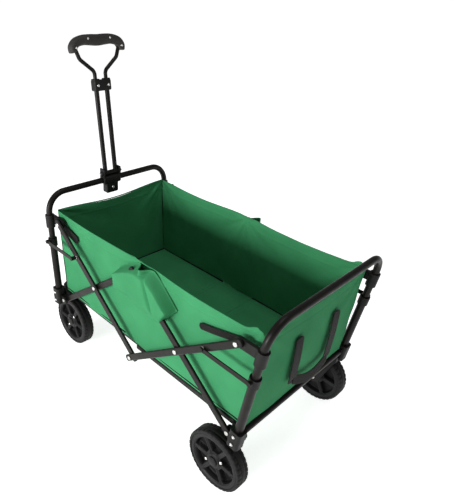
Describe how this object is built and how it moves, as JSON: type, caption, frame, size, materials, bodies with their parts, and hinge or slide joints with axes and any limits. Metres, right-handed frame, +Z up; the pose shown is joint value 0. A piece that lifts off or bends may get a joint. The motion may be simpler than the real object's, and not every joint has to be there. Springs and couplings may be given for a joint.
{
  "type": "folding camp wagon",
  "caption": "Folding camp wagon: green fabric basket on a black crossed-bar frame, swivelling front casters, fixed rear wheels and a tilting, extending pull handle.",
  "frame": {"origin": "middle of the whole wagon on the ground: bounding-box centre in X and Y, lowest point of the wheels in Z", "axes": "+X forward towards the pull handle, +Y left, +Z up"},
  "size_m": [0.9358, 0.5266, 1.0042],
  "materials": {
    "black_tube": "black powder coat, semi-gloss",
    "bright_steel": "bright zinc",
    "tread_plastic": "black moulded tread",
    "wheel_plastic": "black moulded wheel",
    "moulding": "black nylon",
    "grip_plastic": "dark grey, fine texture",
    "black_webbing": "woven webbing",
    "green_fabric": "woven polyester"
  },
  "bodies": {
    "rear_base": {"rear_posts": "black_tube", "rear_collars": "moulding", "rear_pivot_pins": "bright_steel", "rear_lower_rail": "black_tube", "rear_corner_left": "moulding", "rear_corner_right": "moulding", "rear_axles": "bright_steel"},
    "rear_upper_frame": {"rear_upper_frame": "black_tube", "rear_shoulders": "moulding", "rear_panel": "green_fabric", "rear_straps": "black_webbing", "side_panel_left": "green_fabric", "side_panel_right": "green_fabric"},
    "rear_lower_bars": {"rear_lower_bar_left": "black_tube", "rear_lower_bar_right": "black_tube", "rear_lower_bar_rivets": "bright_steel"},
    "rear_upper_bars": {"rear_upper_bar_left": "black_tube", "rear_upper_bar_right": "black_tube", "rear_upper_bar_rivets": "bright_steel"},
    "front_lower_bars": {"front_lower_bar_left": "black_tube", "front_lower_bar_right": "black_tube", "front_lower_bar_rivets": "bright_steel"},
    "front_upper_bars": {"front_upper_bar_left": "black_tube", "front_upper_bar_right": "black_tube", "front_upper_bar_rivets": "bright_steel"},
    "front_base": {"front_posts": "black_tube", "front_collars": "moulding", "front_pivot_pins": "bright_steel", "front_lower_rail": "black_tube", "front_corner_left": "moulding", "front_corner_right": "moulding"},
    "front_upper_frame": {"front_upper_frame": "black_tube", "front_shoulders": "moulding", "front_panel": "green_fabric", "front_straps": "black_webbing", "handle_bracket": "moulding", "handle_pin": "bright_steel"},
    "rear_stays": {"rear_stays": "black_tube"},
    "front_stays": {"front_stays": "black_tube"},
    "rear_floor": {"rear_floor_frame": "black_tube", "rear_floor_board": "green_fabric", "floor_fold": "green_fabric"},
    "front_floor": {"front_floor_frame": "black_tube", "front_floor_board": "green_fabric"},
    "rear_wheel_left": {"rear_wheel_left": "wheel_plastic", "rear_tyre_left": "tread_plastic"},
    "front_wheel_left": {"front_wheel_left": "wheel_plastic", "front_tyre_left": "tread_plastic"},
    "caster_left": {"caster_fork_left": "black_tube"},
    "rear_wheel_right": {"rear_wheel_right": "wheel_plastic", "rear_tyre_right": "tread_plastic"},
    "front_wheel_right": {"front_wheel_right": "wheel_plastic", "front_tyre_right": "tread_plastic"},
    "caster_right": {"caster_fork_right": "black_tube"},
    "handle": {"handle_tubes": "black_tube", "handle_clamp": "moulding"},
    "handle_loop": {"handle_loop": "black_tube", "grip_front": "grip_plastic", "grip_rear": "grip_plastic", "grip_screws": "bright_steel"}
  },
  "joints": [
    {"name": "fold", "type": "hinge", "parent": "rear_base", "child": "rear_lower_bars", "pos_m": [-0.38737, 0, 0.2], "axis": [0, -1, 0], "range_deg": [0, 46.88]},
    {"name": "rear_cross", "type": "hinge", "parent": "rear_lower_bars", "child": "rear_upper_bars", "pos_m": [-0.20687, 0, 0.34], "axis": [0, -1, 0], "range_deg": [-88.41, 0]},
    {"name": "middle_fold", "type": "hinge", "parent": "rear_lower_bars", "child": "front_lower_bars", "pos_m": [-0.02637, 0, 0.48], "axis": [0, -1, 0], "range_deg": [-88.41, 0]},
    {"name": "front_cross", "type": "hinge", "parent": "front_lower_bars", "child": "front_upper_bars", "pos_m": [0.15413, 0, 0.34], "axis": [0, -1, 0], "range_deg": [0, 88.41]},
    {"name": "front_fold", "type": "hinge", "parent": "front_lower_bars", "child": "front_base", "pos_m": [0.33463, 0, 0.2], "axis": [0, -1, 0], "range_deg": [0, 45.92]},
    {"name": "rear_frame_rise", "type": "slide", "parent": "rear_base", "child": "rear_upper_frame", "axis": [-0.1219, 0, 0.9925], "range_m": [0, 0.17323], "deforming": ["side_panel_left", "side_panel_right", "rear_straps"]},
    {"name": "front_frame_rise", "type": "slide", "parent": "front_base", "child": "front_upper_frame", "axis": [0.0785, 0, 0.9969], "range_m": [0, 0.17276], "deforming": ["front_straps"]},
    {"name": "rear_stay_turn", "type": "hinge", "parent": "rear_base", "child": "rear_stays", "pos_m": [-0.43991, 0, 0.408], "axis": [0, -1, 0], "range_deg": [0, 67.41]},
    {"name": "front_stay_turn", "type": "hinge", "parent": "front_base", "child": "front_stays", "pos_m": [0.38, 0, 0.408], "axis": [0, -1, 0], "range_deg": [-68.1, 0]},
    {"name": "rear_floor_fold", "type": "hinge", "parent": "rear_base", "child": "rear_floor", "pos_m": [-0.39437, 0, 0.216], "axis": [0, -1, 0], "range_deg": [0, 82.03], "deforming": ["floor_fold"]},
    {"name": "front_floor_fold", "type": "hinge", "parent": "front_base", "child": "front_floor", "pos_m": [0.34263, 0, 0.216], "axis": [0, -1, 0], "range_deg": [-80.33, 0]},
    {"name": "rear_wheel_spin_left", "type": "hinge", "parent": "rear_base", "child": "rear_wheel_left", "pos_m": [-0.36437, 0, 0.086], "axis": [0, 1, 0], "continuous": true},
    {"name": "caster_swivel_left", "type": "hinge", "parent": "front_base", "child": "caster_left", "pos_m": [0.37763, 0.191, 0.086], "axis": [0, 0, 1], "continuous": true},
    {"name": "front_wheel_spin_left", "type": "hinge", "parent": "caster_left", "child": "front_wheel_left", "pos_m": [0.35563, 0, 0.086], "axis": [0, 1, 0], "continuous": true},
    {"name": "rear_wheel_spin_right", "type": "hinge", "parent": "rear_base", "child": "rear_wheel_right", "pos_m": [-0.36437, 0, 0.086], "axis": [0, 1, 0], "continuous": true},
    {"name": "caster_swivel_right", "type": "hinge", "parent": "front_base", "child": "caster_right", "pos_m": [0.37763, -0.191, 0.086], "axis": [0, 0, 1], "continuous": true},
    {"name": "front_wheel_spin_right", "type": "hinge", "parent": "caster_right", "child": "front_wheel_right", "pos_m": [0.35563, 0, 0.086], "axis": [0, 1, 0], "continuous": true},
    {"name": "handle_tilt", "type": "hinge", "parent": "front_upper_frame", "child": "handle", "pos_m": [0.3918, 0, 0.58], "axis": [0, 1, 0], "range_deg": [-28, 88]},
    {"name": "handle_extend", "type": "slide", "parent": "handle", "child": "handle_loop", "axis": [0.1392, 0, 0.9903], "range_m": [0, 0.2]}
  ],
  "couplings": [
    {"joint": "rear_cross", "follows": "fold", "ratio": -1.8859},
    {"joint": "middle_fold", "follows": "fold", "ratio": -1.8859},
    {"joint": "front_cross", "follows": "fold", "ratio": 1.8859},
    {"joint": "front_fold", "follows": "fold", "ratio": 0.97957},
    {"joint": "rear_frame_rise", "follows": "fold", "m_per_rad": 0.21171},
    {"joint": "front_frame_rise", "follows": "fold", "m_per_rad": 0.21114},
    {"joint": "rear_stay_turn", "follows": "fold", "ratio": 1.438},
    {"joint": "front_stay_turn", "follows": "fold", "ratio": -1.4527},
    {"joint": "rear_floor_fold", "follows": "fold", "ratio": 1.7497},
    {"joint": "front_floor_fold", "follows": "fold", "ratio": -1.7136}
  ]
}
